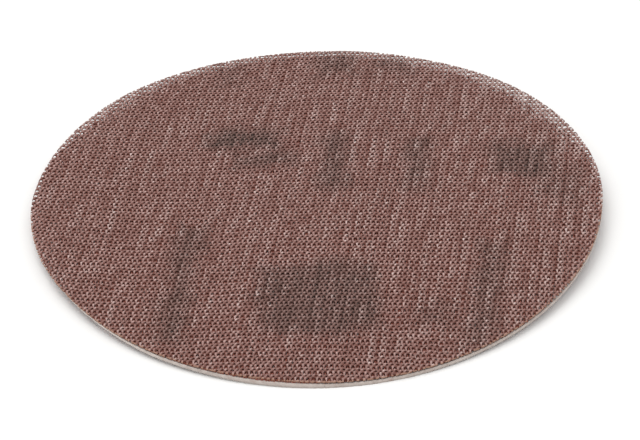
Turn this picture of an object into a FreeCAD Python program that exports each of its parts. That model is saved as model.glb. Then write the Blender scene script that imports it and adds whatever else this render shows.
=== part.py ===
import FreeCAD, Part
import math
import os
import Sketcher

# Net-type hook and loop sanding disc, 150 mm across, lying as it comes to rest.
# The disc is a thin round sheet of two bonded layers: the grain-coated net on
# top and the pile of loops below it. It has taken a slight curl, a little
# tighter towards its right side, so it lies as a shallow arch: its front and
# back rims touch the table, its middle and its two sides stand clear, and the
# right side stands a little higher than the left. A flat sheet bends without
# stretching only into a cylinder or a cone, so every face is part of a round
# cone about one common line, which runs far below the table and comes up to
# meet the sheet's own plane well beyond the right rim.
# Frame: +Z up, origin on the table under the middle of the disc.

os.makedirs("parts", exist_ok=True)

doc = FreeCAD.newDocument("sanding_disc")

# Driving dimensions, in millimetres and degrees.
sheet = doc.addObject("Spreadsheet::Sheet", "Spec")
cells = [
    ("disc_diameter", 150.0),    # outside diameter
    ("net_thickness", 0.60),     # coated net, grain included
    ("pile_thickness", 0.75),    # loops, from the table side to the net
    ("bend_radius", 898.0),      # of the underside's curl at the middle of the disc
    ("apex_reach", 241.0),       # from the middle of the disc to the cone's apex, on its right
    ("arch_turn", 5.51),         # turn of the straight direction from +X, seen from above
    ("rest_tilt", 0.727),        # lift of the right side, as the disc balances on its two rims
    ("rest_height", 3.064),      # underside at the middle above the two rims
    ("blank_half", 82.0),        # half the length of the bent blank, before it is cut round
    ("blank_sweep", 48.0),       # how far the blank reaches round the cone
    ("scrap_radius", 165.0),     # reaches past the blank's corners
]
for row, (alias, value) in enumerate(cells, start=1):
    sheet.set("A%d" % row, alias)
    sheet.set("B%d" % row, repr(value))
    sheet.setAlias("B%d" % row, alias)
doc.recompute()

R_DISC = sheet.disc_diameter / 2.0
HALF = sheet.blank_half


def origin_plane(body, role):
    for feature in body.Origin.OriginFeatures:
        if feature.Role == role:
            return feature
    raise RuntimeError("no plane " + role)


def layer(label, low, high, low_text, high_text):
    """One layer: a blank bent round the cone, then cut round.

    low and high are the heights of its two faces above the disc's underside.
    """
    body = doc.addObject("PartDesign::Body", label)
    body.Label = label

    # Section along the straight direction: a long thin rectangle, and the
    # cone's axis from its apex down to the centre of the curl.
    section = body.newObject("Sketcher::SketchObject", label + "_section")
    section.AttachmentSupport = [(origin_plane(body, "XZ_Plane"), "")]
    section.MapMode = "FlatFace"
    corner = [FreeCAD.Vector(-HALF, low, 0), FreeCAD.Vector(HALF, low, 0),
              FreeCAD.Vector(HALF, high, 0), FreeCAD.Vector(-HALF, high, 0)]
    bottom, right, top, left = [
        section.addGeometry(Part.LineSegment(corner[k], corner[(k + 1) % 4]), False) for k in range(4)]
    axis = section.addGeometry(Part.LineSegment(FreeCAD.Vector(sheet.apex_reach, 0, 0),
                                                FreeCAD.Vector(0, -sheet.bend_radius, 0)), True)
    for first, second in ((bottom, right), (right, top), (top, left), (left, bottom)):
        section.addConstraint(Sketcher.Constraint("Coincident", first, 2, second, 1))
    section.addConstraint(Sketcher.Constraint("Horizontal", bottom))
    section.addConstraint(Sketcher.Constraint("Horizontal", top))
    section.addConstraint(Sketcher.Constraint("Vertical", right))
    section.addConstraint(Sketcher.Constraint("Vertical", left))
    section.addConstraint(Sketcher.Constraint("PointOnObject", axis, 1, -1))
    section.addConstraint(Sketcher.Constraint("PointOnObject", axis, 2, -2))
    names = [
        ("to_right", Sketcher.Constraint("DistanceX", -1, 1, bottom, 2, HALF), "Spec.blank_half"),
        ("to_left", Sketcher.Constraint("DistanceX", bottom, 1, -1, 1, HALF), "Spec.blank_half"),
        ("to_top", Sketcher.Constraint("DistanceY", -1, 1, top, 1, high), high_text),
        ("apex", Sketcher.Constraint("DistanceX", -1, 1, axis, 1, sheet.apex_reach), "Spec.apex_reach"),
        ("curl", Sketcher.Constraint("DistanceY", axis, 2, -1, 1, sheet.bend_radius), "Spec.bend_radius"),
    ]
    if low > 0:
        names.append(("to_bottom", Sketcher.Constraint("DistanceY", -1, 1, bottom, 1, low), low_text))
    else:
        section.addConstraint(Sketcher.Constraint("PointOnObject", bottom, 1, -1))
    for name, constraint, text in names:
        section.renameConstraint(section.addConstraint(constraint), name)
        section.setExpression("Constraints." + name, text)
    doc.recompute()

    blank = body.newObject("PartDesign::Revolution", label + "_blank")
    blank.Profile = section
    blank.ReferenceAxis = (section, ["Axis0"])
    blank.Midplane = True
    blank.setExpression("Angle", "Spec.blank_sweep * 1 deg")
    doc.recompute()
    blank_volume = blank.Shape.Volume

    # Round outline: everything outside the disc's circle is cut away.
    outline = body.newObject("Sketcher::SketchObject", label + "_outline")
    outline.AttachmentSupport = [(origin_plane(body, "XY_Plane"), "")]
    outline.MapMode = "FlatFace"
    up = FreeCAD.Vector(0, 0, 1)
    inner = outline.addGeometry(Part.Circle(FreeCAD.Vector(), up, R_DISC), False)
    outer = outline.addGeometry(Part.Circle(FreeCAD.Vector(), up, sheet.scrap_radius), False)
    outline.addConstraint(Sketcher.Constraint("Coincident", inner, 3, -1, 1))
    outline.addConstraint(Sketcher.Constraint("Coincident", outer, 3, -1, 1))
    size_in = outline.addConstraint(Sketcher.Constraint("Radius", inner, R_DISC))
    size_out = outline.addConstraint(Sketcher.Constraint("Radius", outer, sheet.scrap_radius))
    outline.renameConstraint(size_in, "r_disc")
    outline.renameConstraint(size_out, "r_scrap")
    outline.setExpression("Constraints.r_disc", "Spec.disc_diameter / 2")
    outline.setExpression("Constraints.r_scrap", "Spec.scrap_radius")
    doc.recompute()

    trim = body.newObject("PartDesign::Pocket", label + "_trim")
    trim.Profile = outline
    trim.Type = "ThroughAll"
    trim.Midplane = True
    body.Tip = trim
    # It lies turned a little from the frame's X, with its right side lifted.
    turn = FreeCAD.Rotation(up, sheet.arch_turn)
    lift = FreeCAD.Rotation(FreeCAD.Vector(0, 1, 0), -sheet.rest_tilt)
    body.Placement = FreeCAD.Placement(FreeCAD.Vector(0, 0, sheet.rest_height), turn.multiply(lift))
    doc.recompute()

    expected = math.pi * R_DISC ** 2 * (high - low)
    volume = body.Shape.Volume
    print(label, "blank", round(blank_volume, 1), "disc", round(volume, 1), "expected about", round(expected, 1))
    if volume > 0.99 * blank_volume or abs(volume - expected) > 0.01 * expected:
        raise RuntimeError(label + " wasn't cut round")
    return body


t_pile = sheet.pile_thickness
t_all = t_pile + sheet.net_thickness
parts = [
    # Pile of fine loops on the underside: the face that a hooked pad grips.
    layer("loop_backing", 0.0, t_pile, "0", "Spec.pile_thickness"),
    # Grain-coated net: the abrasive face.
    layer("abrasive_net", t_pile, t_all, "Spec.pile_thickness",
          "Spec.pile_thickness + Spec.net_thickness"),
]

doc.recompute()
for item in doc.Objects:
    for state in item.State:
        if state in ("Invalid", "Error"):
            raise RuntimeError(item.Name + " failed: " + state)
for part in parts:
    shape = part.Shape
    if shape.isNull() or not shape.isValid() or len(shape.Solids) != 1:
        raise RuntimeError(part.Label + " is not one valid solid")
# The lowest points of the rim lie on the table.
lowest = min(point.z for edge in parts[0].Shape.Edges for point in edge.discretize(2001))
print("lowest point", round(lowest, 4))
if abs(lowest) > 0.005:
    raise RuntimeError("the disc doesn't lie on the table")
for part in parts:
    part.Shape.exportStep("parts/" + part.Label + ".step")
    box = part.Shape.BoundBox
    print(part.Label, [round(v, 3) for v in (box.XMin, box.XMax, box.YMin, box.YMax, box.ZMin, box.ZMax)],
          "volume", round(part.Shape.Volume, 2), "faces", len(part.Shape.Faces))
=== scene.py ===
import math

import bpy
import numpy as np
from mathutils import Matrix, Vector
from mathutils.geometry import delaunay_2d_cdt, tessellate_polygon


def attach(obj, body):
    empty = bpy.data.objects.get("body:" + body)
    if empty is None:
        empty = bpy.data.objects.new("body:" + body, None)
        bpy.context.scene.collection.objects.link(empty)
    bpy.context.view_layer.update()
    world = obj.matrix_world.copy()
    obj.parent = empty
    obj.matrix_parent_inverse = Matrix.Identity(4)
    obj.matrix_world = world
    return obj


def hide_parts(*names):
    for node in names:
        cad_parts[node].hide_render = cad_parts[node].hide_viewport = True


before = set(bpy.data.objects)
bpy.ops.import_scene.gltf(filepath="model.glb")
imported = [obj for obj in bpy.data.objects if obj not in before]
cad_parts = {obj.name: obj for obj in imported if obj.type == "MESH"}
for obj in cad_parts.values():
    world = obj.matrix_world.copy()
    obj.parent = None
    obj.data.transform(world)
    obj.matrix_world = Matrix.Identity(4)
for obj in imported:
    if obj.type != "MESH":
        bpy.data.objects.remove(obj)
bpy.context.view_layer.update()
RNG = np.random.default_rng(20417)

# ---------------------------------------------------------------------------
# Sizes in millimetres, as in the CAD: a 150 mm disc, 1.35 mm thick, curled
# like part of a wide cone, so that its front and back rims lie on the table.
# ---------------------------------------------------------------------------
R_DISC = 75.0
PILE = 0.75                    # loops below the net
NET = 0.60                     # the coated net
TOTAL = PILE + NET
BEND = 898.0                   # radius of the curl at the middle
APEX = 241.0                   # from the middle to the cone's apex, on the right
TURN = math.radians(5.51)      # turn of the straight direction from +X
TILT = math.radians(0.727)     # lift of the right side at rest
HEIGHT = 3.064                 # underside at the middle above the two rims
Z_MID = PILE + NET / 2         # the net's middle layer, above the underside

# The knit's repeat: one wale across, two courses along.
ACROSS = np.array([1.2960, -0.0736])
ALONG = np.array([0.3595, 2.3489])
CELL = np.stack([ACROSS, ALONG], 1)


def spin(p, angle):
    """Turned about the third axis."""
    c, s = math.cos(angle), math.sin(angle)
    return np.stack([p[:, 0] * c - p[:, 1] * s, p[:, 0] * s + p[:, 1] * c, p[:, 2]], 1)


def lifted(p):
    """The right side lifted, about the middle of the underside."""
    c, s = math.cos(TILT), math.sin(TILT)
    return np.stack([p[:, 0] * c - p[:, 2] * s, p[:, 1], p[:, 0] * s + p[:, 2] * c + HEIGHT], 1)


def bend(p):
    """Flat millimetres, z above the underside, to the curled disc in metres, without stretching it."""
    q = spin(p, -TURN)
    u, v, z = q[:, 0], q[:, 1], q[:, 2]
    half = math.atan2(BEND, APEX)          # the cone's half angle
    sh, ch = math.sin(half), math.cos(half)
    reach = np.hypot(APEX - u, v)          # from the apex, along the sheet
    swing = np.arctan2(v, APEX - u) / sh   # round the axis
    down, out = reach * ch - z * sh, reach * sh + z * ch
    q = np.stack([APEX - down * ch - out * np.cos(swing) * sh,
                  out * np.sin(swing),
                  out * np.cos(swing) * ch - down * sh], 1)
    return spin(lifted(q), TURN) / 1000.0


# Courses wander a little across the disc: their slope, by distance across the wales.
BOW_AT = [-82, -54, -46, -39, -34, -28, -24, -15, -11, -5, -1, 4, 8, 13, 18, 27, 36, 42, 54, 64, 82]
BOW_SLOPE = [-.150, -.149, -.128, -.068, -.043, -.002, .009, .006, .006, -.014, -.034, -.044, -.062, -.072, -.086, -.082,
             -.078, -.092, -.082, -.092, -.092]


def bow(w):
    at = np.linspace(-82, 82, 657)
    slope = np.interp(at, BOW_AT, BOW_SLOPE) - ACROSS[1] / ACROSS[0]
    kernel = np.hanning(25)
    slope = np.convolve(np.pad(slope, 12, mode="edge"), kernel / kernel.sum(), mode="valid")
    total = np.concatenate([[0], np.cumsum((slope[1:] + slope[:-1]) / 2 * np.diff(at))])
    return np.interp(w, at, total - np.interp(0, at, total))


def across_of(x, y):
    """Distance across the wales."""
    n = np.array([ALONG[1], -ALONG[0]]) / np.hypot(*ALONG)
    return x * n[0] + y * n[1]


def smooth_noise(x, y, size, seed):
    """Value noise on a grid of that size, from -1 to 1."""
    r = np.random.default_rng(seed)
    g = r.uniform(-1, 1, (256, 256))
    gx, gy = x / size + 400.0, y / size + 400.0
    ix, iy = np.floor(gx).astype(int), np.floor(gy).astype(int)
    fx, fy = gx - ix, gy - iy
    fx, fy = fx * fx * (3 - 2 * fx), fy * fy * (3 - 2 * fy)
    a, b = g[ix % 256, iy % 256], g[(ix + 1) % 256, iy % 256]
    c, d = g[ix % 256, (iy + 1) % 256], g[(ix + 1) % 256, (iy + 1) % 256]
    return (a * (1 - fx) + b * fx) * (1 - fy) + (c * (1 - fx) + d * fx) * fy


# ---------------------------------------------------------------------------
# One repeat of the knit, seen from above, round the left-hand knot at (0, 0).
# Each strand: start, end, half width at both, crest height at both.
# ---------------------------------------------------------------------------
KNOT_L = np.array([0.03, 0.0])
KNOT_R = np.array([0.640, -1.030])
STRANDS = [
    ((0.00, 0.60), (0.03, 0.28), 0.120, 0.200, 0.020, 0.200),       # strand that comes up to the left knot
    ((0.04, 0.28), (0.09, 0.03), 0.218, 0.326, 0.240, 0.300),       # left knot
    ((0.09, 0.03), (0.04, -0.34), 0.326, 0.262, 0.300, 0.270),
    ((0.04, -0.34), (0.08, -0.85), 0.262, 0.170, 0.250, 0.170),     # its tail
    ((0.08, -0.85), (0.30, -1.42), 0.170, 0.190, 0.170, 0.170),     # tail into the arm
    ((0.620, -1.130), (-0.340, -2.349), 0.225, 0.205, 0.275, 0.240),  # thick arm
    ((0.635, -1.150), (0.700, -0.730), 0.260, 0.190, 0.300, 0.260),   # right knot
    ((0.66, -1.05), (1.43, -0.92), 0.118, 0.114, 0.030, 0.030),     # bridge to the next wale
    ((0.60, 0.53), (1.17, 0.22), 0.150, 0.106, -0.07, -0.18),       # low strand beside the knot
]
PORES = [((0.74, -0.18), 10, 0.5), ((1.43, 0.99), 6, 0.25)]
SADDLE = np.array([0.98, 0.49])     # the low strand between two pores
# Nodes along the strands, with how pale the coat is painted there: pale grain on the high knots together with a painted
# highlight, and painted shade where a node lies low, as at the saddle.
NODES = [(0.03, 0.14, 0.78), (0.04, -0.18, 0.60), (0.08, -0.62, 0.42), (0.18, -1.03, 0.34), (0.32, -1.43, 0.44),
         (0.64, -1.03, 0.84), (0.31, 0.42, 0.40), (0.62, 0.82, 0.52), (1.08, -0.98, 0.05), (0.93, 0.40, -0.38)]
BACK_NODES = [(0.03, -0.30), (0.60, -1.12), (0.45, 0.60), (0.93, 0.40)]
BLEND = 0.10


def strands_near(points):
    """Distance to the knit's edge (negative inside) and the crest height at each point."""
    p = np.asarray(points, float)[:, None, :]
    dist, high = [], []
    for i in range(-2, 3):
        for j in range(-2, 3):
            at = i * ACROSS + j * ALONG
            for a, b, ra, rb, ha, hb in STRANDS:
                a, b = np.array(a) + at, np.array(b) + at
                d = b - a
                t = np.clip(((p[:, 0] - a) @ d) / (d @ d), 0, 1)
                away = np.linalg.norm(p[:, 0] - a - t[:, None] * d, axis=1)
                r = ra + (rb - ra) * t
                dist.append(away - r)
                high.append((ha + (hb - ha) * t) * np.sqrt(np.clip(1 - (away / (r * 1.04)) ** 2, 0, 1)))
    dist, high = np.array(dist), np.array(high)
    low = dist.min(0)
    soft = low - BLEND * 0.35 * np.log(np.exp(-(dist - low) / (BLEND * 0.35)).sum(0))
    top = high.max(0)
    top = top + 0.03 * np.log(np.exp((high - top) / 0.03).sum(0)) - 0.03 * math.log(2)
    return soft, np.maximum(top, -0.02)


def repeat_cell():
    """The repeat's points and triangles: rings of each pore, their shoulders, and the crests."""
    rings, shoulders = [], []
    for centre, n, start in PORES:
        ring, shoulder = [], []
        for k in range(n):
            a = 2 * math.pi * (k + start) / n
            way = np.array([math.cos(a), math.sin(a)])
            r = np.arange(0.04, 1.1, 0.004)
            d, _ = strands_near(np.array(centre) + r[:, None] * way)
            first = int(np.argmax(d <= 0))
            edge = r[first]
            rest = d[first:]
            turn = int(np.argmax(np.diff(rest) > 0)) or len(rest) - 1
            middle = r[first + turn]
            ring.append(np.array(centre) + edge * way)
            shoulder.append(np.array(centre) + (edge + 0.42 * min(middle - edge, 0.24)) * way)
        rings.append(ring)
        shoulders.append(shoulder)
    ring = np.concatenate(rings)
    shoulder = np.concatenate(shoulders)
    nodes, back = np.array(NODES)[:, :2], np.array(BACK_NODES)
    n_ring, n_sh, n_node = len(ring), len(shoulder), len(nodes)
    points = np.concatenate([ring, shoulder, nodes, back])
    base = {"ring": 0, "shoulder": n_ring, "node": n_ring + n_sh, "back": n_ring + n_sh + n_node}

    _, top = strands_near(points)
    z = np.zeros(len(points))
    # how near each point is to a saddle, in this repeat or the next ones
    dip = np.zeros(len(points))
    for i in (-1, 0, 1):
        for j in (-1, 0, 1):
            away = points - SADDLE - i * ACROSS - j * ALONG
            dip = np.maximum(dip, np.exp(-(away ** 2).sum(1) / 0.33 ** 2))
    low = 0.03 - 0.22 * dip[base["shoulder"]:base["node"]]
    z[base["shoulder"]:base["node"]] = np.maximum(top[base["shoulder"]:base["node"]], low)
    z[base["node"]:base["back"]] = top[base["node"]:base["back"]] - 0.18 * dip[base["node"]:base["back"]] ** 4
    # How pale the coat is painted: shoulders paler the higher they stand, as pale grain with a painted highlight, and
    # darker near the saddle, as painted shade.
    pale = np.zeros(len(points))
    pale[base["shoulder"]:base["node"]] = (z[base["shoulder"]:base["node"]] / 0.30 * 0.75).clip(0.10, 0.62)
    pale[base["shoulder"]:base["node"]] -= 0.46 * dip[base["shoulder"]:base["node"]]
    pale[:n_ring] -= 0.20 * dip[:n_ring]
    pale[base["node"]:base["back"]] = np.array(NODES)[:, 2]
    z[base["back"]:] = -np.maximum(top[base["back"]:] * 0.95, 0.10) - 0.20 * dip[base["back"]:] ** 4
    z[:n_ring] = -0.03 - 0.17 * dip[:n_ring]

    def loops(start, n_all):
        out, at = [], start
        for r in rings:
            out.append([at + k for k in range(len(r))])
            at += len(r)
        return out

    def periodic(members, ring_loops, flip):
        """Triangles of the region outside the ring loops, as (index, i, j) corners."""
        copies, where = [], []
        span = range(-2, 3)
        for i in span:
            for j in span:
                at = i * ACROSS + j * ALONG
                for k in members:
                    copies.append(points[k] + at)
                    where.append((k, i, j))
        index = {w: n for n, w in enumerate(where)}
        edges = []
        for i in span:
            for j in span:
                for loop in ring_loops:
                    for a, b in zip(loop, loop[1:] + loop[:1]):
                        edges.append((index[(a, i, j)], index[(b, i, j)]))
        made = delaunay_2d_cdt([Vector(c) for c in copies], edges, [], 0, 1e-7)
        verts, _, faces, orig = made[0], made[1], made[2], made[3]
        name = [where[o[0]] for o in orig]
        polygons = []
        for i in range(-3, 4):
            for j in range(-3, 4):
                at = i * ACROSS + j * ALONG
                for loop in ring_loops:
                    polygons.append(np.array([points[k] for k in loop]) + at)
        inverse = np.linalg.inv(CELL)
        out = []
        for f in faces:
            if len(f) != 3:
                continue
            corner = np.array([verts[v][:] for v in f])
            c = corner.mean(0)
            a, b = inverse @ c + np.array([0.01371, 0.00717])
            if not (0 <= a < 1 and 0 <= b < 1):
                continue
            if any(inside(c, poly) for poly in polygons if np.hypot(*(poly.mean(0) - c)) < 1.2):
                continue
            e1, e2 = corner[1] - corner[0], corner[2] - corner[0]
            tri = [name[v] for v in f]
            if (e1[0] * e2[1] - e1[1] * e2[0] < 0) != flip:
                tri = tri[::-1]
            out.append(tri)
        return out

    top_members = list(range(n_ring, base["back"]))
    back_members = list(range(n_ring)) + list(range(base["back"], len(points)))
    triangles = periodic(top_members, loops(base["shoulder"], n_sh), False)
    triangles += periodic(back_members, loops(0, n_ring), True)
    for low, high in zip(loops(0, n_ring), loops(base["shoulder"], n_sh)):
        for k in range(len(low)):
            m = (k + 1) % len(low)
            # the pore's rim runs anticlockwise, and its shoulder lies outside it
            triangles.append([(low[k], 0, 0), (high[k], 0, 0), (high[m], 0, 0)])
            triangles.append([(low[k], 0, 0), (high[m], 0, 0), (low[m], 0, 0)])
    kind = np.zeros(len(points))
    pore_of = np.full(len(points), -1)
    at = 0
    for n, r in enumerate(rings):
        pore_of[at:at + len(r)] = n
        pore_of[n_ring + at:n_ring + at + len(r)] = n
        at += len(r)
    kind[:n_ring] = 0
    kind[n_ring:base["node"]] = 1
    kind[base["node"]:base["back"]] = 2
    kind[base["back"]:] = 3
    return points, z, triangles, pore_of, kind, pale


def inside(p, poly):
    x, y = poly[:, 0] - p[0], poly[:, 1] - p[1]
    x2, y2 = np.roll(x, -1), np.roll(y, -1)
    cross = (y > 0) != (y2 > 0)
    with np.errstate(divide="ignore", invalid="ignore"):
        at = x + (x2 - x) * (0 - y) / np.where(y2 - y == 0, 1e-12, y2 - y)
    return bool((cross & (at > 0)).sum() % 2)


# ---------------------------------------------------------------------------
# Cutting a closed mesh, and closing each cut strand with a flat cap.
# ---------------------------------------------------------------------------
def compact(v, f):
    used, f = np.unique(f, return_inverse=True)
    return v[used], f.reshape(-1, 3)


def cut(v, f, d, along, cap=True):
    """Keeps the part where d is negative. along gives the cut's own running coordinate of a point."""
    d = np.where(np.abs(d) < 1e-6, 1e-6, d)
    keep = d < 0
    count = keep[f].sum(1)
    whole = f[count == 3]
    part = f[(count == 1) | (count == 2)]
    lone = np.where(keep[part].sum(1)[:, None] == 1, keep[part], ~keep[part])
    first = lone.argmax(1)
    rows = np.arange(len(part))
    a = part[rows, first]
    b = part[rows, (first + 1) % 3]
    c = part[rows, (first + 2) % 3]
    pairs = np.sort(np.concatenate([np.stack([a, b], 1), np.stack([a, c], 1)]), 1)
    pairs, back = np.unique(pairs, axis=0, return_inverse=True)
    back = back.reshape(-1)
    t = d[pairs[:, 0]] / (d[pairs[:, 0]] - d[pairs[:, 1]])
    made = v[pairs[:, 0]] + (v[pairs[:, 1]] - v[pairs[:, 0]]) * t[:, None]
    ab, ac = len(v) + back[:len(part)], len(v) + back[len(part):]
    one = keep[a]
    new = [whole,
           np.stack([a, ab, ac], 1)[one],
           np.stack([ab, b, c], 1)[~one],
           np.stack([ab, c, ac], 1)[~one]]
    v = np.concatenate([v, made])
    start = np.where(one, ac, ab)
    end = np.where(one, ab, ac)
    if cap:
        follow = dict(zip(start.tolist(), end.tolist()))
        seen = set()
        tiles = []
        for s in list(follow):
            if s in seen:
                continue
            loop, p = [], s
            while p not in seen:
                seen.add(p)
                loop.append(p)
                p = follow[p]
            if len(loop) < 3:
                continue
            line = np.stack([along(v[loop]), v[loop][:, 2]], 1)
            area = ((line[:, 0] * np.roll(line[:, 1], -1) - np.roll(line[:, 0], -1) * line[:, 1]).sum()) / 2
            for t3 in tessellate_polygon([[Vector((x, y, 0)) for x, y in line]]):
                q = line[list(t3)]
                turn = (q[1, 0] - q[0, 0]) * (q[2, 1] - q[0, 1]) - (q[1, 1] - q[0, 1]) * (q[2, 0] - q[0, 0])
                t3 = t3 if (turn > 0) == (area > 0) else t3[::-1]
                tiles.append([loop[k] for k in t3])
        if tiles:
            new.append(np.array(tiles))
    return compact(v, np.concatenate(new))


def drop_loose(v, f):
    """Without the crumbs that the round cut leaves hanging on nothing."""
    held = np.hypot(v[:, 0], v[:, 1]) < R_DISC - 6
    near = ~held[f].all(1)
    g = f[near]
    for _ in range(400):
        hit = held[g].any(1) & ~held[g].all(1)
        if not hit.any():
            break
        held[g[hit].ravel()] = True
    return compact(v, f[held[f].all(1)])


# ---------------------------------------------------------------------------
# The net: the repeat laid over the whole disc, with each knot a little off.
# ---------------------------------------------------------------------------
def bars():
    """Plain soft bars printed on the back, seen through the net: centre, half sizes, turn in degrees, strength."""
    return [
        ((-1.0, -43.0), (15.0, 13.0), 2, 0.95),
        ((-35.6, -34.0), (3.2, 22.8), -8, 0.89),
        ((41.8, -43.2), (3.7, 20.6), -9, 0.74),
        ((28.0, -51.5), (4.2, 4.2), 0, 0.60),
        ((-19.0, 28.0), (9.5, 4.4), 2, 1.20),
        ((-13.5, 17.9), (7.2, 4.0), 0, 0.90),
        ((5.0, 16.0), (3.4, 13.0), -4, 0.93),
        ((27.5, 13.5), (3.4, 11.0), -4, 0.86),
        ((55.2, 13.4), (8.2, 7.6), -8, 1.04),
        ((63.5, 1.0), (6.0, 7.0), -8, 0.48),
        ((6.5, 66.5), (5.0, 5.5), 0, 0.85),
        ((23.0, 64.5), (7.0, 4.0), -18, 0.62),
        ((-22.5, 63.0), (3.6, 7.0), -10, 0.52),
    ]


def printed(x, y):
    total = np.zeros(len(x))
    wx = x + 1.5 * smooth_noise(x, y, 4.2, 31) + 0.6 * smooth_noise(x, y, 1.6, 33)
    wy = y + 2.2 * smooth_noise(x, y, 4.6, 32) + 0.8 * smooth_noise(x, y, 1.9, 34)
    for (cx, cy), (hx, hy), turn, strength in bars():
        c, s = math.cos(math.radians(turn)), math.sin(math.radians(turn))
        px, py = (wx - cx) * c + (wy - cy) * s, -(wx - cx) * s + (wy - cy) * c
        qx, qy = np.abs(px) - hx + 0.8, np.abs(py) - hy + 0.8
        d = np.hypot(np.maximum(qx, 0), np.maximum(qy, 0)) + np.minimum(np.maximum(qx, qy), 0) - 0.8
        total = np.maximum(total, strength * np.clip(0.5 - d / 5.5, 0, 1))
    return total


points, heights, triangles, pore_of, kind, pale = repeat_cell()
K = len(points)
I0, I1, J0, J1 = -84, 84, -38, 38
NI, NJ = I1 - I0 + 1, J1 - J0 + 1
ii, jj = np.meshgrid(np.arange(I0, I1 + 1), np.arange(J0, J1 + 1), indexing="ij")
cell_at = ii[..., None] * ACROSS + jj[..., None] * ALONG

# Each knot is pushed aside, raised and thickened a little, and each wale wanders.
push = RNG.normal(0, 0.066, (NI, NJ, 2, 2)).clip(-0.15, 0.15)
lift = RNG.normal(0, 0.030, (NI, NJ, 2))
wale_push = RNG.normal(0, 0.030, (NI, 1, 1, 1)) * np.array([1.0, 0.0])
slip = RNG.normal(0, 1, (NI, NJ + 16))
kernel = np.hanning(9)
slip = np.stack([np.convolve(row, kernel / np.sqrt((kernel ** 2).sum()), mode="same")[8:-8] for row in slip])
# each wale wanders sideways, so the gaps beside it open and close along it
sway = RNG.normal(0, 1, (2, NI, NJ + 16))
sway = [np.stack([np.convolve(row, q / np.sqrt((q ** 2).sum()), mode="same")[8:-8] for row in layer])
        for layer, q in ((sway[0], np.hanning(13)), (sway[1], np.hanning(5)))]
sway = (0.062 * sway[0].clip(-2, 2) + 0.045 * sway[1].clip(-2, 2))[:, :, None, None] * np.array([1.0, 0.0])
push = push + wale_push + sway + (0.15 * slip.clip(-2, 2))[:, :, None, None] * np.array([ALONG[0], ALONG[1]]) / np.hypot(*ALONG)
sites = np.stack([KNOT_L, KNOT_R])
move = np.zeros((NI, NJ, K, 2))
raise_by = np.zeros((NI, NJ, K))
weights = np.zeros(K)
for di in range(-1, 2):
    for dj in range(-1, 2):
        for s in range(2):
            at = sites[s] + di * ACROSS + dj * ALONG
            w = np.exp(-((points - at) ** 2).sum(1) / (2 * 0.42 ** 2))
            weights += w
            shifted = np.roll(np.roll(push[:, :, s], -di, 0), -dj, 1)
            shifted_lift = np.roll(np.roll(lift[:, :, s], -di, 0), -dj, 1)
            move += shifted[:, :, None, :] * w[:, None]
            raise_by += shifted_lift[:, :, None] * w
move /= weights[:, None]
raise_by /= weights
swell = 1 + RNG.normal(0, 0.10, (NI, NJ, len(PORES))).clip(-0.22, 0.22)
local = np.broadcast_to(points, (NI, NJ, K, 2)).copy()
for n, (centre, _, _) in enumerate(PORES):
    mine = np.flatnonzero(pore_of == n)
    c = np.array(centre)
    # the rim moves more than its shoulder, so no strand folds over
    share = np.where(kind[mine] == 0, 1.0, 0.45)
    grow = 1 + (swell[:, :, n, None] - 1) * share
    local[:, :, mine] = c + (local[:, :, mine] - c) * grow[..., None]
flat = cell_at[:, :, None, :] + local + move
zz = heights * (1 + raise_by / 0.25 * (kind == 2)) + raise_by * (kind < 3) * 0.25
zz = np.clip(zz, -NET / 2, NET / 2)
xy = flat.reshape(-1, 2)
xy[:, 1] += bow(across_of(xy[:, 0], xy[:, 1]))

# What each point carries into the material: its crest value, which is how pale it is painted (pale grain with a painted
# highlight up high, painted shade down low), and its knot's tone.
knot_tone = RNG.normal(0, 1, (NI, NJ, 2))
tone = np.where((points[:, 1] < -0.75)[None, None, :] | (points[:, 1] > 0.75)[None, None, :],
                knot_tone[:, :, 1, None], knot_tone[:, :, 0, None])
crest = pale + RNG.normal(0, 0.19, (NI, NJ, K)) * (kind == 2) + RNG.normal(0, 0.07, (NI, NJ, K)) * (kind == 1)
wale = np.broadcast_to(np.arange(NI)[:, None, None], (NI, NJ, K))
cols = np.stack([tone.ravel(), crest.ravel(), wale.ravel().astype(float)], 1)
net_v = np.concatenate([xy, (zz.reshape(-1) + Z_MID)[:, None], cols], 1)

near = np.hypot(cell_at[..., 0], cell_at[..., 1] + bow(across_of(cell_at[..., 0], cell_at[..., 1]))) < R_DISC + 3.2
near[:2], near[-2:], near[:, :2], near[:, -2:] = False, False, False, False
ci, cj = np.nonzero(near)
faces = []
for tri in triangles:
    faces.append(np.stack([((ci + di) * NJ + (cj + dj)) * K + k for k, di, dj in tri], 1))
net_f = np.concatenate(faces)
net_v, net_f = compact(net_v, net_f)

# The round cut is a little uneven, as a die leaves a knit that gives. Along the
# front left the net has drawn back from the cut, and the pile shows past it.
CUT_AT = [-180, -178, -170, -162, -156, -150, -142, -134, -126, -118, -110, -102, -94, -86, -78, -70, -62, -54, -46, -38,
          -30, -22, -12, 2, 10, 18, 26, 34, 42, 50, 58, 66, 74, 82, 90, 98, 106, 114, 122, 130, 138, 146, 154, 162, 170,
          178, 180]
CUT_OFF = [.42, .45, .45, .42, .22, -.04, -.18, -.22, -.30, -.42, -.62, -.80, -.60, -.22, -.10, -.16, -.26, -.28, -.28,
           -.26, -.10, -.02, 0, .22, .08, -.04, -.12, -.07, .10, .06, -.08, -.10, .14, .16, -.04, -.16, -.16, -.02, .12,
           .30, .20, -.12, -.28, -.26, -.06, .36, .42]


def drawn(x, y):
    """How far the net's edge is out from the 75 mm circle, in millimetres."""
    return np.interp(np.degrees(np.arctan2(y, x)), CUT_AT, CUT_OFF)


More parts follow.
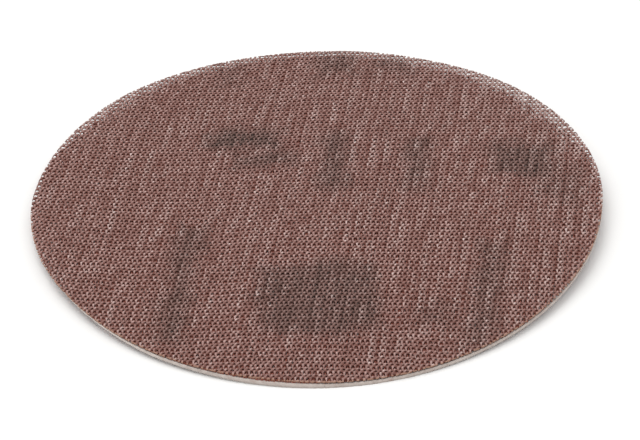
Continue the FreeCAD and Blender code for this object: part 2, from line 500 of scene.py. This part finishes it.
angle = np.arctan2(net_v[:, 1], net_v[:, 0])
ragged = 74.95 + drawn(net_v[:, 0], net_v[:, 1]) + 0.05 * smooth_noise(angle * 60, angle * 0, 1.0, 5)
radius = np.hypot(net_v[:, 0], net_v[:, 1])
net_v, net_f = cut(net_v, net_f, radius - ragged, lambda p: np.unwrap(np.arctan2(p[:, 1], p[:, 0])) * R_DISC)
net_v, net_f = drop_loose(net_v, net_f)


# ---------------------------------------------------------------------------
# Tones that belong to a place on the disc.
# ---------------------------------------------------------------------------
def streaks(x, y, wale):
    """Light and dark that runs along single wales, each unlike its neighbour."""
    w = np.round(wale).astype(int)
    along = y / 1.0
    r = np.random.default_rng(77)
    table = r.uniform(-1, 1, (512, 64))
    table = table - np.roll(table, 1, 0)
    value = 0
    for length, share, shift in ((30.0, 0.30, 0), (9.0, 0.54, 7), (4.0, 0.70, 19)):
        g = along / length + 40 + w * 0.37
        k = np.floor(g).astype(int)
        t = g - k
        t = t * t * (3 - 2 * t)
        a, b = table[(w + shift) % 512, k % 64], table[(w + shift) % 512, (k + 1) % 64]
        value = value + share * (a * (1 - t) + b * t)
    per_wale = r.normal(0, 1, 512)
    per_wale = (per_wale - np.roll(per_wale, 1))[w % 512]
    return value, per_wale


def attributes(v):
    x, y = v[:, 0], v[:, 1]
    value, per_wale = streaks(x, y, v[:, 5])
    amount = 0.95 + 0.10 * np.clip(x / 60, -1, 1)
    streak_and_rim_light = np.clip(value - 0.30 + 0.30 * np.clip(x / 60, -1, 1), 0, 1) * 0.45 * amount
    # along the far rim, where the pile is bare, the threads are painted paler and greyer: painted light, for the bright
    # table seen through the net there
    wide = np.interp(x, (-60, -20, 15, 50), (1.8, 1.3, 1.3, 4.6))
    far = np.clip((np.hypot(x, y) - 75 + wide) / 1.6, 0, 1) * np.clip(np.sin(np.arctan2(y, x)) * 2.5 - 0.4, 0, 1)
    streak_and_rim_light = np.clip(streak_and_rim_light + 0.45 * far, 0, 1)
    mottle = 0.08 * smooth_noise(x, y, 7.0, 11) + 0.06 * smooth_noise(x, y, 3.2, 12)
    # the tone is a little darker towards the back and the right, and more so towards the front
    front = np.clip((-y - 42) / 22, 0, 1)
    thin = 0.015 * np.clip((y + 5) / 65, 0, 1) + 0.06 * front + 0.02 * np.clip(x / 60, 0, 1)
    tone = 0.472 + 0.12 * v[:, 3] + 0.040 * per_wale + 0.150 * value * amount + 0.08 * mottle - thin
    cut_end = np.clip((np.hypot(x, y) - (74.95 + drawn(x, y) - 0.30)) / 0.22, 0, 1) * np.clip(-y / 12, 0, 1)
    # towards the front, the low parts get a higher crest value, so their painted shade is lighter
    crest = v[:, 4] + front * 0.16 * np.clip(0.5 - v[:, 4], 0, 0.6)
    return {"tone": tone, "crest": crest, "streak_and_rim_light": streak_and_rim_light, "cut_end": cut_end, "print": printed(x, y) * (1 - 0.55 * np.clip(value * 0.6, -0.6, 1))}


def add_mesh(name, v, f, carried, material):
    mesh = bpy.data.meshes.new(name)
    mesh.vertices.add(len(v))
    mesh.vertices.foreach_set("co", bend(v[:, :3]).astype(np.float32).ravel())
    mesh.loops.add(len(f) * 3)
    mesh.loops.foreach_set("vertex_index", f.astype(np.int32).ravel())
    mesh.polygons.add(len(f))
    mesh.polygons.foreach_set("loop_start", (np.arange(len(f)) * 3).astype(np.int32))
    mesh.polygons.foreach_set("use_smooth", np.ones(len(f), bool))
    mesh.update(calc_edges=True)
    mesh.validate()
    for key, value in carried.items():
        layer = mesh.attributes.new(key, "FLOAT", "POINT")
        layer.data.foreach_set("value", value.astype(np.float32))
    # upper and lower faces side by side in one map
    a, b, c = v[f[:, 0]], v[f[:, 1]], v[f[:, 2]]
    up = ((b[:, 0] - a[:, 0]) * (c[:, 1] - a[:, 1]) - (b[:, 1] - a[:, 1]) * (c[:, 0] - a[:, 0])) > 0
    lo, hi = v[:, :2].min(0) - 0.2, v[:, :2].max(0) + 0.2
    place = (v[f.ravel()][:, :2] - lo) / (hi - lo)
    place[:, 0] = place[:, 0] * 0.49 + np.where(np.repeat(up, 3), 0.0, 0.51)
    layer = mesh.uv_layers.new(name="OFBake")
    layer.uv.foreach_set("vector", place.astype(np.float32).ravel())
    o = bpy.data.objects.new(name, mesh)
    bpy.context.scene.collection.objects.link(o)
    mesh.materials.append(material)
    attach(o, "root")
    return o


# ---------------------------------------------------------------------------
# Materials
# ---------------------------------------------------------------------------
def nodes_of(name):
    m = bpy.data.materials.new(name)
    m.use_nodes = True
    t = m.node_tree
    t.nodes.clear()
    return m, t


def link(t, a, b):
    t.links.new(a, b)


def math_node(t, op, a, b=None, clamp=False):
    n = t.nodes.new("ShaderNodeMath")
    n.operation = op
    n.use_clamp = clamp
    for k, value in enumerate((a, b)):
        if value is None:
            continue
        if isinstance(value, (int, float)):
            n.inputs[k].default_value = value
        else:
            link(t, value, n.inputs[k])
    return n.outputs[0]


def mix_colour(t, fac, a, b, blend="MIX"):
    n = t.nodes.new("ShaderNodeMix")
    n.data_type = "RGBA"
    n.blend_type = blend
    n.clamp_factor = True
    for socket, value in ((n.inputs[0], fac), (n.inputs[6], a), (n.inputs[7], b)):
        if isinstance(value, (int, float)):
            socket.default_value = value
        elif isinstance(value, tuple):
            socket.default_value = (*value, 1.0)
        else:
            link(t, value, socket)
    return n.outputs[2]


def attribute(t, name):
    n = t.nodes.new("ShaderNodeAttribute")
    n.attribute_name = name
    return n.outputs["Fac"]


def noise(t, coords, scale, detail=2.0, rough=0.5):
    n = t.nodes.new("ShaderNodeTexNoise")
    n.inputs["Scale"].default_value = scale
    n.inputs["Detail"].default_value = detail
    n.inputs["Roughness"].default_value = rough
    link(t, coords, n.inputs["Vector"])
    return n.outputs["Fac"]


def ramp(t, fac, stops):
    n = t.nodes.new("ShaderNodeValToRGB")
    e = n.color_ramp.elements
    while len(e) > 1:
        e.remove(e[-1])
    e[0].position, e[0].color = stops[0][0], (*stops[0][1], 1)
    for p, c in stops[1:]:
        k = e.new(p)
        k.color = (*c, 1)
    link(t, fac, n.inputs[0])
    return n.outputs[0]


def net_material():
    m, t = nodes_of("abrasive_coat")
    out = t.nodes.new("ShaderNodeOutputMaterial")
    s = t.nodes.new("ShaderNodeBsdfPrincipled")
    link(t, s.outputs[0], out.inputs[0])
    tc = t.nodes.new("ShaderNodeTexCoord")
    mm = t.nodes.new("ShaderNodeVectorMath")
    mm.operation = "SCALE"
    mm.inputs[3].default_value = 1000.0
    link(t, tc.outputs["Object"], mm.inputs[0])
    xyz = mm.outputs[0]
    grain = noise(t, xyz, 5.0, 3.0, 0.65)          # clusters of grains
    fleck = noise(t, xyz, 3.6, 1.0, 0.5)           # brighter single grains
    patchy = noise(t, xyz, 0.9, 2.0, 0.5)          # resin thicker here and there
    crest = attribute(t, "crest")
    tone = attribute(t, "tone")
    # tone: knot + grain + patches, and a painted highlight that rises with the crest value
    g = math_node(t, "MULTIPLY", math_node(t, "SUBTRACT", grain, 0.5), 0.9)
    p = math_node(t, "MULTIPLY", math_node(t, "SUBTRACT", patchy, 0.5), 0.18)
    lit = math_node(t, "MULTIPLY", math_node(t, "SUBTRACT", crest, 0.60), 0.36)
    level = math_node(t, "ADD", math_node(t, "ADD", tone, g), math_node(t, "ADD", p, lit), True)
    body = ramp(t, level, [(0.10, (0.204, 0.104, 0.090)),
                           (0.38, (0.331, 0.195, 0.174)),
                           (0.58, (0.424, 0.271, 0.249)),
                           (0.82, (0.566, 0.404, 0.378)),
                           (1.00, (0.710, 0.574, 0.550))])
    # The low parts of the coat are painted darker and redder: painted shade in the hollows and down the strands' sides.
    low = t.nodes.new("ShaderNodeMapRange")
    low.interpolation_type = "SMOOTHSTEP"
    low.inputs["From Min"].default_value = 0.78
    low.inputs["From Max"].default_value = 0.06
    link(t, crest, low.inputs["Value"])
    deep = mix_colour(t, math_node(t, "MULTIPLY", low.outputs[0], 0.92, True), body, (0.170, 0.070, 0.056))
    # The lowest parts, round the saddle, are darker still: painted shade.
    pit = t.nodes.new("ShaderNodeMapRange")
    pit.inputs["From Min"].default_value = 0.06
    pit.inputs["From Max"].default_value = -0.14
    link(t, crest, pit.inputs["Value"])
    deep = mix_colour(t, math_node(t, "MULTIPLY", pit.outputs[0], 0.62, True), deep, (0.096, 0.028, 0.020))
    # The pale single grains show only on the crests, where they are also painted glints.
    spark = math_node(t, "MULTIPLY", math_node(t, "GREATER_THAN", fleck, 0.640), math_node(t, "MULTIPLY", crest, 0.55, True), True)
    flecked = mix_colour(t, spark, deep, (0.62, 0.50, 0.47))
    pale = mix_colour(t, math_node(t, "MULTIPLY", attribute(t, "streak_and_rim_light"), math_node(t, "MULTIPLY", crest, 0.75, True), True),
                      flecked, (0.58, 0.50, 0.47))
    show = math_node(t, "SUBTRACT", 0.56, math_node(t, "MULTIPLY", crest, 0.24))
    ink = mix_colour(t, math_node(t, "MULTIPLY", attribute(t, "print"), show, True), pale, (0.066, 0.047, 0.040))
    cut_end = mix_colour(t, math_node(t, "MULTIPLY", attribute(t, "cut_end"), 0.75, True), ink, (0.44, 0.26, 0.185))
    link(t, cut_end, s.inputs["Base Color"])
    rough = math_node(t, "ADD", math_node(t, "MULTIPLY", grain, 0.35), 0.42)
    link(t, rough, s.inputs["Roughness"])
    s.inputs["Specular IOR Level"].default_value = 0.07
    bump = t.nodes.new("ShaderNodeBump")
    bump.inputs["Strength"].default_value = 0.7
    bump.inputs["Distance"].default_value = 0.00006
    link(t, grain, bump.inputs["Height"])
    link(t, bump.outputs[0], s.inputs["Normal"])
    return m


def loop_material():
    m, t = nodes_of("loop_yarn")
    out = t.nodes.new("ShaderNodeOutputMaterial")
    s = t.nodes.new("ShaderNodeBsdfPrincipled")
    link(t, s.outputs[0], out.inputs[0])
    tc = t.nodes.new("ShaderNodeTexCoord")
    mm = t.nodes.new("ShaderNodeVectorMath")
    mm.operation = "SCALE"
    mm.inputs[3].default_value = 1000.0
    link(t, tc.outputs["Object"], mm.inputs[0])
    fibre = noise(t, mm.outputs[0], 14.0, 2.0, 0.6)
    patchy = noise(t, mm.outputs[0], 0.7, 1.0, 0.5)
    drop = attribute(t, "drop")
    shade = math_node(t, "ADD", math_node(t, "MULTIPLY", math_node(t, "SUBTRACT", fibre, 0.5), 0.35),
                      math_node(t, "MULTIPLY", math_node(t, "SUBTRACT", patchy, 0.5), 0.25))
    level = math_node(t, "ADD", drop, shade, True)
    colour = ramp(t, level, [(0.00, (0.400, 0.120, 0.084)),
                             (0.22, (0.370, 0.145, 0.108)),
                             (0.48, (0.40, 0.235, 0.195)),
                             (0.60, (0.455, 0.395, 0.362)),
                             (0.75, (0.62, 0.55, 0.51)),
                             (1.00, (0.78, 0.71, 0.66))])
    ink = mix_colour(t, math_node(t, "MULTIPLY", attribute(t, "print"), 0.60, True), colour, (0.10, 0.095, 0.088))
    link(t, ink, s.inputs["Base Color"])
    s.inputs["Roughness"].default_value = 0.65
    s.inputs["Specular IOR Level"].default_value = 0.06
    s.inputs["Sheen Weight"].default_value = 0.05
    s.inputs["Sheen Roughness"].default_value = 0.4
    bump = t.nodes.new("ShaderNodeBump")
    bump.inputs["Strength"].default_value = 0.4
    bump.inputs["Distance"].default_value = 0.00003
    link(t, fibre, bump.inputs["Height"])
    link(t, bump.outputs[0], s.inputs["Normal"])
    return m


COAT, YARN = net_material(), loop_material()

# The net is cut into four side-by-side strips that meet without a gap, because
# one piece would be too many triangles. Each strip is a closed mesh.
SEAMS = [-30.3, 0.0, 30.3]
rest = (net_v, net_f)
strips = []
for seam in SEAMS:
    v, f = rest
    strips.append(cut(v, f, v[:, 0] - seam, lambda p: p[:, 1]))
    rest = cut(v, f, seam - v[:, 0], lambda p: p[:, 1])
strips.append(rest)
net_pieces = []
for n, (v, f) in enumerate(strips):
    net_pieces.append(add_mesh("abrasive_net_%d" % (n + 1), v, f, attributes(v), COAT))


# ---------------------------------------------------------------------------
# The pile: one yarn loop under each knot, down to the table side.
# ---------------------------------------------------------------------------
def tubes(path, side, wide, thin):
    """Closed three-sided yarns along their paths: flat side up, wide across, thin through."""
    n, rings = path.shape[:2]
    tangent = np.gradient(path, axis=1)
    tangent /= np.linalg.norm(tangent, axis=2, keepdims=True)
    w = side[:, None, :] - tangent * (side[:, None, :] * tangent).sum(2, keepdims=True)
    w /= np.linalg.norm(w, axis=2, keepdims=True)
    u = np.cross(w, tangent)
    u *= np.sign(u[:, :1, 2:3] + 1e-9)
    wide, thin = wide[..., None], thin[..., None]
    verts = np.stack([path + w * wide + u * thin * 0.5, path - w * wide + u * thin * 0.5, path - u * thin], 2)
    f = []
    for a in range(rings - 1):
        for k in range(3):
            m = (k + 1) % 3
            p, q, p2, q2 = a * 3 + k, a * 3 + m, a * 3 + 3 + k, a * 3 + 3 + m
            f += [(p, q, q2), (p, q2, p2)]
    f += [(2, 1, 0), ((rings - 1) * 3, (rings - 1) * 3 + 1, (rings - 1) * 3 + 2)]
    return verts.reshape(n, rings * 3, 3), np.array(f)


def facing_out(v, f):
    """Turns every face of each closed yarn outward."""
    a, b, c = v[:, f[:, 0]], v[:, f[:, 1]], v[:, f[:, 2]]
    return (a * np.cross(b, c)).sum((1, 2)) > 0


def bare(x, y):
    """How far the pile is drawn back along the far rim, from 0 to 1."""
    a = np.arctan2(y, x)
    return np.clip(np.sin(a) * 2.5 - np.where(np.asarray(x) > 0, 0.2, 0.6), 0, 1)


def frayed(x, y):
    """Over how many millimetres the pile thins out before it is bare."""
    return np.interp(x, (-60, -20, 15, 50), (3.2, 0.4, 0.3, 5.2)) * bare(x, y)


def brim(x, y):
    """Radius that the pile reaches: the die's circle, and out under the net where the net bulges."""
    return R_DISC + 0.9 * np.maximum(drawn(x, y), 0)


def make_rim():
    """The pile's own cut edge, along the near half of the rim: a low wall of packed yarn ends."""
    r = np.random.default_rng(626)
    ends = [-174.0] + [-math.degrees(math.acos(c / R_DISC)) for c in SEAMS] + [-6.0]
    pieces = []
    for a0, a1 in zip(ends[:-1], ends[1:]):
        n = int((a1 - a0) / 0.24)
        a = np.linspace(a0, a1, n + 1)
        fade = np.clip(np.minimum(a + 174, -6 - a) / 9, 0.25, 1)
        rough = np.convolve(r.normal(0, 1, n + 3), [0.3, 0.4, 0.3], mode="valid")
        # along the front left the cut pile stands in a little under the net, and hangs less far
        back = np.interp(a, (-174, -162, -155, -145, -135, -126), (0, 0.16, 0.46, 0.40, 0.26, 0))
        out = R_DISC - 0.02 - 0.95 * back + (0.012 + 0.22 * back) * rough
        c, s = np.cos(np.radians(a)), np.sin(np.radians(a))
        inner = np.minimum(np.minimum(R_DISC + drawn(c, s) - 0.12, R_DISC - 0.30), out - 0.16)
        top = PILE - 0.05 - (1 - fade) * 0.45 + 0.022 * rough
        low = 0.012 + 0.8 * back
        # where the rim lies on the table, the ends splay out a little
        soft_end = 0.52 * np.exp(-((a + 86) / 20) ** 2)
        splay = out + soft_end * (1 + 0.14 * np.convolve(r.normal(0, 1, n + 3), [0.3, 0.4, 0.3], mode="valid"))
        ring = np.stack([np.stack([c * q, s * q, h], 1)
                         for q, h in ((inner, low), (splay, low + 0.085 * soft_end), (out, top), (inner, top))], 1)
        f = []
        for k in range(n):
            for m in range(4):
                p, q = k * 4 + m, k * 4 + (m + 1) % 4
                f += [(p, p + 4, q + 4), (p, q + 4, q)]
        f += [(0, 1, 2), (0, 2, 3)]
        e = n * 4
        f += [(e + 2, e + 1, e), (e + 3, e + 2, e)]
        v, f = ring.reshape(-1, 3), np.array(f)
        a3, b3, c3 = v[f[:, 0]], v[f[:, 1]], v[f[:, 2]]
        centre = v.mean(0)
        if ((a3 - centre) * np.cross(b3 - centre, c3 - centre)).sum() < 0:
            f = f[:, ::-1]
        pieces.append((v, f))
    return pieces


def make_loops():
    r = np.random.default_rng(911)
    base = cell_at[:, :, None, :] + sites[None, None] + push
    base = base.reshape(-1, 2)
    base[:, 1] += bow(across_of(base[:, 0], base[:, 1]))
    worn = frayed(base[:, 0], base[:, 1]) * np.random.default_rng(57).random(len(base)) ** 1.3
    base = base[np.hypot(base[:, 0], base[:, 1])
                < brim(base[:, 0], base[:, 1]) - 0.55 - 2.0 * bare(base[:, 0], base[:, 1]) - worn]
    way = ALONG / np.hypot(*ALONG)
    n = len(base)
    turn = r.normal(0, 0.75, n) + np.where(r.random(n) < 0.5, 0, math.pi)
    spread = r.uniform(0.30, 0.66, n)
    lean = r.normal(0, 0.18, (n, 2)) + np.array([0.03, -0.05])
    depth = PILE + 0.08 - r.uniform(0.015, 0.16, n)
    c, s = np.cos(turn), np.sin(turn)
    dirs = np.stack([way[0] * c - way[1] * s, way[0] * s + way[1] * c, 0 * c], 1)
    side = np.stack([-dirs[:, 1], dirs[:, 0], 0 * c], 1)
    rings = 4
    swing = np.array([0.0, 1.0, 1.0, 0.0])
    run = np.array([-0.34, -0.38, 0.38, 0.34])
    path = np.zeros((n, rings, 3))
    path[..., :2] = base[:, None] + dirs[:, None, :2] * (run * 1.0)[None, :, None] * spread[:, None, None] \
        + lean[:, None] * swing[None, :, None]
    path[..., 2] = PILE + 0.08 - depth[:, None] * swing[None]
    wide = r.uniform(0.085, 0.15, n)[:, None] * np.array([0.75, 1.15, 1.15, 0.75])
    thin = np.full((n, rings), 0.055)
    verts, f = tubes(path, side, wide, thin)
    return verts, f, base


def make_floats():
    """Flat floats of the pile yarn that lie under the net, along the wales."""
    r = np.random.default_rng(313)
    way = ALONG / np.hypot(*ALONG)
    over = np.array([way[1], -way[0]])
    fray = np.random.default_rng(58)
    pieces = []
    for lane in np.arange(-74.6, 74.7, 0.640):
        for _ in range(1):
            lane = lane + r.normal(0, 0.03)
            # from the near rim to where the far one is bare
            step = np.arange(-R_DISC, R_DISC, 0.1)
            spot = over * lane + way * step[:, None]
            held = np.hypot(spot[:, 0], spot[:, 1]) < brim(spot[:, 0], spot[:, 1]) - 0.45 - 2.0 * bare(spot[:, 0], spot[:, 1])
            if held.sum() < 30:
                continue
            near_end, far = step[held][0] + r.uniform(0, 0.3), step[held][-1] - r.uniform(0, 0.6)
            tip = over * lane + way * far
            far -= frayed(tip[0], tip[1]) * fray.random() ** 1.3
            if far - near_end < 2:
                continue
            count = max(2, int(round((far - near_end) / 1.55)) + 1)
            along = np.linspace(near_end, far, count)
            along[1:-1] += r.normal(0, 0.12, count - 2)
            xy = over * lane + way * along[:, None]
            xy = xy + over * r.normal(0, 0.075, count)[:, None]
            xy[:, 1] += bow(across_of(xy[:, 0], xy[:, 1])) - bow(np.array([lane]))[0]
            z = PILE + 0.03 + r.normal(0, 0.028, count).clip(-0.06, 0.05)
            path = np.concatenate([xy, z[:, None]], 1)[None]
            side = np.array([[over[0], over[1], 0.0]])
            wide = r.uniform(0.22, 0.34, (1, count))
            pieces.append(tubes(path, side, wide, np.full((1, count), 0.06)))
    return pieces


loop_v, loop_f, loop_at = make_loops()
# a yarn whose faces came out inside out is turned the right way
flip = ~facing_out(loop_v - loop_v.mean(1, keepdims=True), loop_f)
edges = [-1e9] + SEAMS + [1e9]
pile_v, pile_f, pile_side, total = [], [], [], 0
per = loop_v.shape[1]
for k, (v, turned) in enumerate(((loop_v[~flip], False), (loop_v[flip], True))):
    f = loop_f[:, ::-1] if turned else loop_f
    pile_f.append((f[None] + (np.arange(len(v)) * per)[:, None, None] + total).reshape(-1, 3))
    pile_v.append(v.reshape(-1, 3))
    pile_side.append(np.repeat(v[..., 0].mean(1), per))
    total += v.size // 3
for v, f in make_floats():
    if not facing_out(v - v.mean(1, keepdims=True), f)[0]:
        f = f[:, ::-1]
    pile_f.append(f + total)
    pile_v.append(v[0])
    pile_side.append(np.full(len(v[0]), v[0][:, 0].mean()))
    total += len(v[0])
soft = total
for v, f in make_rim():
    pile_f.append(f + total)
    pile_v.append(v)
    pile_side.append(np.full(len(v), v[:, 0].mean()))
    total += len(v)
pile_v, pile_f, pile_side = np.concatenate(pile_v), np.concatenate(pile_f), np.concatenate(pile_side)
edge = np.arange(total) >= soft
# nothing goes below the table side, up through the net, or past the cut
pile_v[:, 2] = pile_v[:, 2].clip(0.012, PILE + 0.12)
out = np.hypot(pile_v[:, 0], pile_v[:, 1])
pile_v[:, :2] /= np.where(edge, 1.0, np.maximum(out / (brim(pile_v[:, 0], pile_v[:, 1]) - 0.16), 1.0))[:, None]
loop_pieces = []
for n in range(4):
    mine = (pile_side >= edges[n]) & (pile_side < edges[n + 1])
    v, f = compact(np.concatenate([pile_v, edge[:, None]], 1), pile_f[mine[pile_f[:, 0]]])
    # the pile's cut edge is painted paler towards the left, where it stands in shade: painted light
    left = np.clip((-v[:, 0] - 30) / 20, 0, 1)
    drop = np.where(v[:, 3] > 0.5, 0.64 + 0.12 * left, np.clip((PILE + 0.08 - v[:, 2]) / (PILE + 0.05), 0, 1))
    carried = {"drop": drop, "print": printed(v[:, 0], v[:, 1]) * (v[:, 3] < 0.5)}
    loop_pieces.append(add_mesh("loop_pile_%d" % (n + 1), v, f, carried, YARN))

for piece in net_pieces:
    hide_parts("abrasive_net")
for piece in loop_pieces:
    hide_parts("loop_backing")

# The flat area of each strip of the net, in square metres: worked out and not used.
def strip_area(lo, hi):
    lo, hi = max(lo, -R_DISC), min(hi, R_DISC)
    def part(x):
        return x * math.sqrt(max(R_DISC ** 2 - x * x, 0)) + R_DISC ** 2 * math.asin(x / R_DISC)
    return (part(hi) - part(lo)) / 1e6


for n, piece in enumerate(net_pieces):
    lo, hi = max(edges[n], -R_DISC), min(edges[n + 1], R_DISC)
    strip_area(lo, hi)

print("net triangles", [len(f) for _, f in strips], "pile triangles", [len(p.data.polygons) for p in loop_pieces],
      "in all", sum(len(f) for _, f in strips) + sum(len(p.data.polygons) for p in loop_pieces))

# ---------------------------------------------------------------------------
# Floor, light and camera
# ---------------------------------------------------------------------------
def floor_material():
    m, t = nodes_of("pale_floor")
    out = t.nodes.new("ShaderNodeOutputMaterial")
    s = t.nodes.new("ShaderNodeBsdfPrincipled")
    s.inputs["Base Color"].default_value = (0.90, 0.90, 0.895, 1)
    s.inputs["Roughness"].default_value = 0.9
    s.inputs["Specular IOR Level"].default_value = 0.0
    link(t, s.outputs[0], out.inputs[0])
    return m


floor_mesh = bpy.data.meshes.new("floor")
floor_mesh.from_pydata([(-1.6, -1.6, 0), (1.6, -1.6, 0), (1.6, 1.6, 0), (-1.6, 1.6, 0)], [], [(0, 1, 2, 3)])
floor_mesh.materials.append(floor_material())
floor = bpy.data.objects.new("floor", floor_mesh)
bpy.context.scene.collection.objects.link(floor)

world = bpy.data.worlds.new("studio")
bpy.context.scene.world = world
world.use_nodes = True
wt = world.node_tree
sky = wt.nodes["Background"]
sky.inputs[0].default_value = (1.0, 0.995, 0.985, 1)
# a white band along the horizon, so floor and wall meet unseen, and a slightly softer ceiling
direction = wt.nodes.new("ShaderNodeTexCoord")
split = wt.nodes.new("ShaderNodeSeparateXYZ")
wt.links.new(direction.outputs["Generated"], split.inputs[0])
band = wt.nodes.new("ShaderNodeMapRange")
band.interpolation_type = "SMOOTHSTEP"
band.inputs["From Min"].default_value = 0.05
band.inputs["From Max"].default_value = 0.22
band.inputs["To Min"].default_value = 1.10
band.inputs["To Max"].default_value = 0.92
wt.links.new(split.outputs[2], band.inputs["Value"])
wt.links.new(band.outputs[0], sky.inputs[1])


def area(name, at, look, size, power, colour=(1, 1, 1)):
    d = bpy.data.lights.new(name, "AREA")
    d.shape = "RECTANGLE"
    d.size, d.size_y = size
    d.energy = power
    d.color = colour
    o = bpy.data.objects.new(name, d)
    o.location = at
    o.rotation_mode = "QUATERNION"
    o.rotation_quaternion = (Vector(look) - Vector(at)).to_track_quat("-Z", "Y")
    bpy.context.scene.collection.objects.link(o)
    return o


area("key", (-0.515, 0.669, 1.590), (0, 0, 0), (1.45, 1.45), 13.2)

scene = bpy.context.scene
scene.view_settings.view_transform = "Standard"
scene.view_settings.look = "None"

# The photograph's camera: about 36 degrees above the disc, a long lens. Its place
# is worked out against the disc's own plane, and lifts with it.
F_PX, ELEV, ROLL, DIST = 2985.1, math.radians(35.932), math.radians(-2.364), 777.84
back = np.array([0, -math.cos(ELEV), math.sin(ELEV)])
right = np.array([1.0, 0, 0])
up = np.cross(right, -back)
r2 = math.cos(ROLL) * right + math.sin(ROLL) * up
u2 = -math.sin(ROLL) * right + math.cos(ROLL) * up
aim = np.array([0.566, -11.366, TOTAL])
spots = np.stack([aim + back * DIST, r2, u2, back, np.zeros(3)])
spots = spin(lifted(spin(spots, -TURN)), TURN)
eye, r2, u2, back = spots[0] / 1000.0, spots[1] - spots[4], spots[2] - spots[4], spots[3] - spots[4]
cam_data = bpy.data.cameras.new("camera")
cam_data.sensor_width = 36.0
cam_data.sensor_fit = "HORIZONTAL"
cam_data.lens = F_PX / 640 * 36.0
cam_data.clip_start, cam_data.clip_end = 0.01, 50
cam = bpy.data.objects.new("camera", cam_data)
scene.collection.objects.link(cam)
place = Matrix.Identity(4)
for k, axis in enumerate((r2, u2, back)):
    for row in range(3):
        place[row][k] = axis[row]
for row in range(3):
    place[row][3] = eye[row]
cam.matrix_world = place
scene.camera = cam
